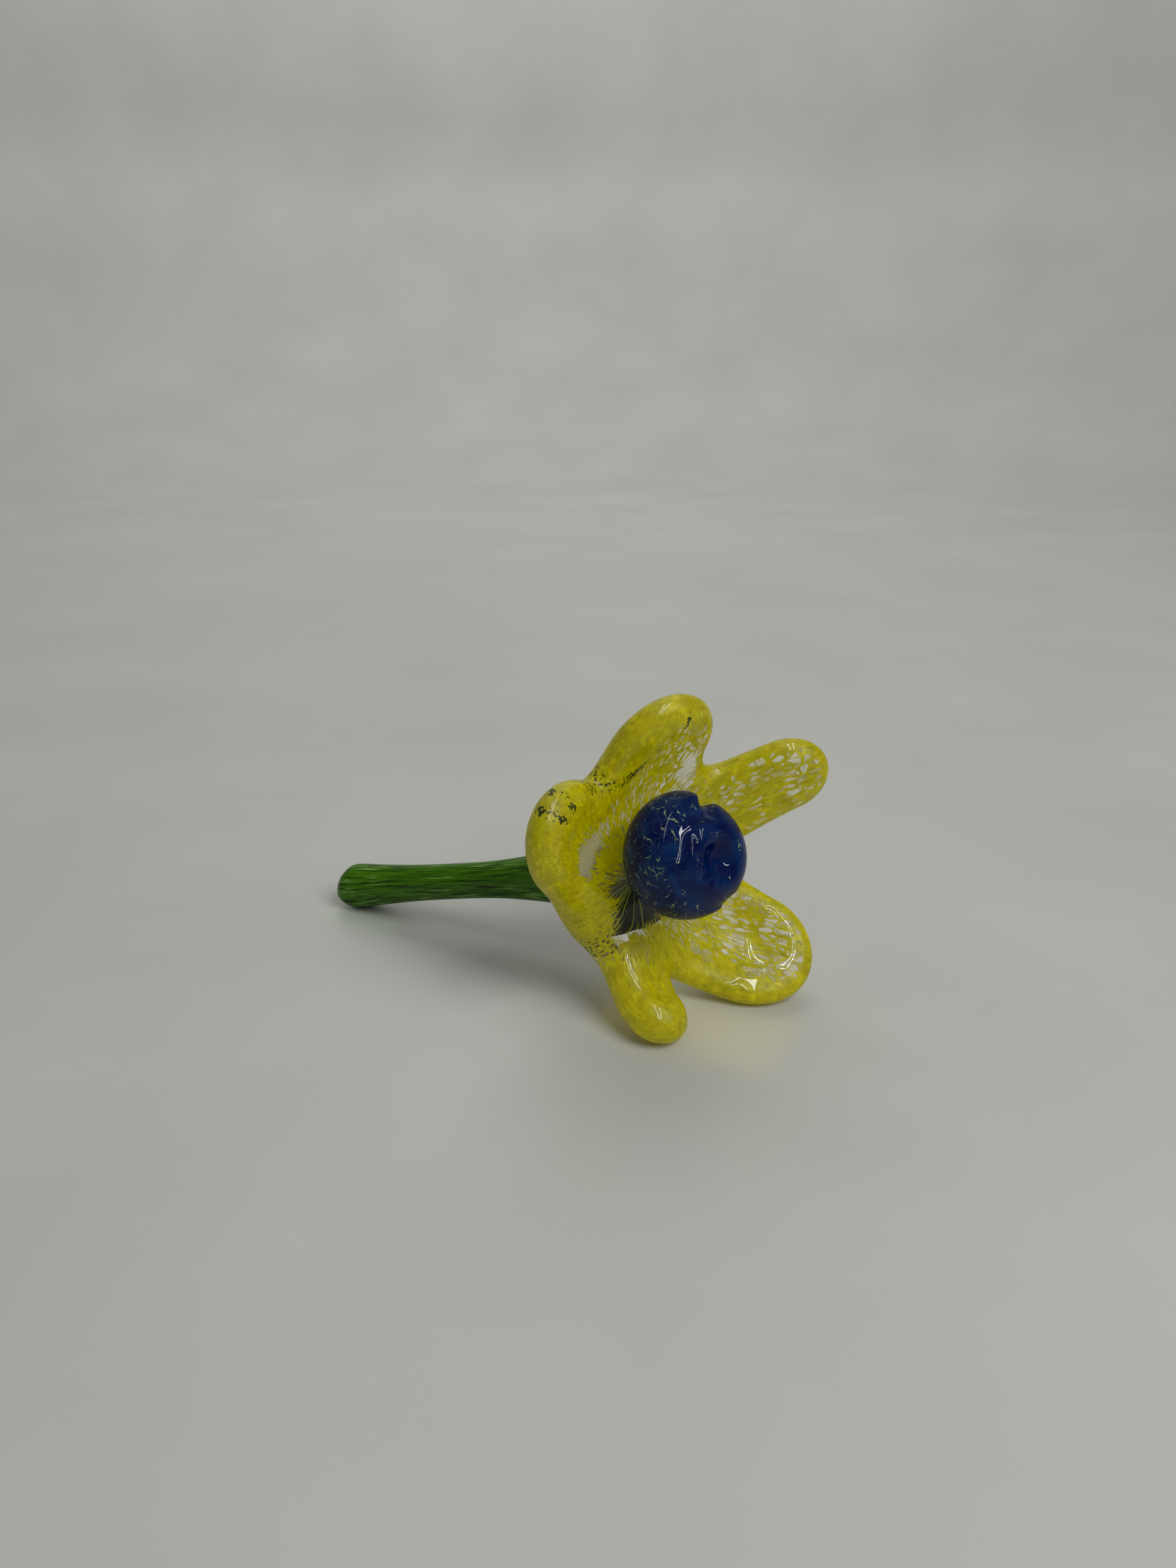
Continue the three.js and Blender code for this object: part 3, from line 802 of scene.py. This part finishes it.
# Name, where a soft light hangs and what it points at on the table, each as a distance behind the
# bloom and one to its right, its height over the bloom, size and watts, and if it throws shadows.
SOFT_LIGHTS = [
    ("main_light", (-0.90, 0.75), (0, 0), 1.20, 0.9, 19, True),
    ("back_light", (1.4, -0.1), (1.4, -0.1), 1.4, 1.4, 14, True),
    ("fill_light", (0, 0), (0, 0), 1.5, 1.2, 1.0, False),
]
# The light that comes through the glass onto the table: name, place, size, watts and colour.
GLOWS = [
    ("yellow_glow", (0.061, -0.008, 0.006), (0.055, 0.030), 0.0010, (1, 0.85, 0.05)),
    ("green_glow", (-0.072, -0.002, 0.004), (0.030, 0.008), 0.0001, (0.2, 0.8, 0.02)),
]
ROOM_COLOUR = (0.78, 0.79, 0.80, 1)
ROOM_LIGHT = 0.30


def on_table(behind, aside):
    """The point of the table that far behind the bloom and to its right, as the camera looks."""
    away = Vector((-math.sin(CAMERA_YAW), math.cos(CAMERA_YAW), 0))
    right = Vector((math.cos(CAMERA_YAW), math.sin(CAMERA_YAW), 0))
    return UNDER_BLOOM + behind * away + aside * right


def lamp(name, at, target, size, watts, colour=(1, 1, 1)):
    light = bpy.data.lights.new(name, "AREA")
    light.shape = "RECTANGLE"
    light.size, light.size_y = size
    light.energy = watts
    light.color = colour
    holder = bpy.data.objects.new(name, light)
    holder.location = at
    holder.rotation_euler = (target - at).to_track_quat("-Z", "Y").to_euler()
    bpy.context.scene.collection.objects.link(holder)
    return holder


for name, aside in (("tube_left", -TUBES_ASIDE), ("tube_right", TUBES_ASIDE)):
    below = on_table(-TUBES_IN_FRONT, aside)
    tube = lamp(name, below + Vector((0, 0, TUBE_HEIGHT)), below, TUBE_SIZE, TUBE_WATTS)
    tube.rotation_euler = (0, 0, CAMERA_YAW)        # its length runs the way the camera looks
    tube.visible_diffuse = False
for name, hangs, points_at, height, size, watts, shadow in SOFT_LIGHTS:
    at = on_table(*hangs) + Vector((0, 0, BLOOM_AT.z + height))
    soft = lamp(name, at, on_table(*points_at), (size, size), watts)
    soft.visible_glossy = False
    soft.data.use_shadow = shadow
for name, at, size, watts, colour in GLOWS:
    glow = lamp(name, Vector(at), Vector((at[0], at[1], 0)), size, watts, colour)
    glow.visible_camera = False
    glow.visible_glossy = False

world = bpy.data.worlds.new("room")
world.use_nodes = True
world.node_tree.nodes["Background"].inputs["Color"].default_value = ROOM_COLOUR
world.node_tree.nodes["Background"].inputs["Strength"].default_value = ROOM_LIGHT
bpy.context.scene.world = world
bpy.context.scene.view_settings.view_transform = "Standard"

camera_data = bpy.data.cameras.new("camera")
camera_data.sensor_fit = "VERTICAL"
camera_data.sensor_height = SENSOR_HEIGHT
camera_data.lens = LENS
camera_data.clip_start = 0.01
camera = bpy.data.objects.new("camera", camera_data)
camera.location = CAMERA_AT
camera.rotation_euler = (CAMERA_TILT, 0, CAMERA_YAW)
bpy.context.scene.collection.objects.link(camera)
bpy.context.scene.camera = camera
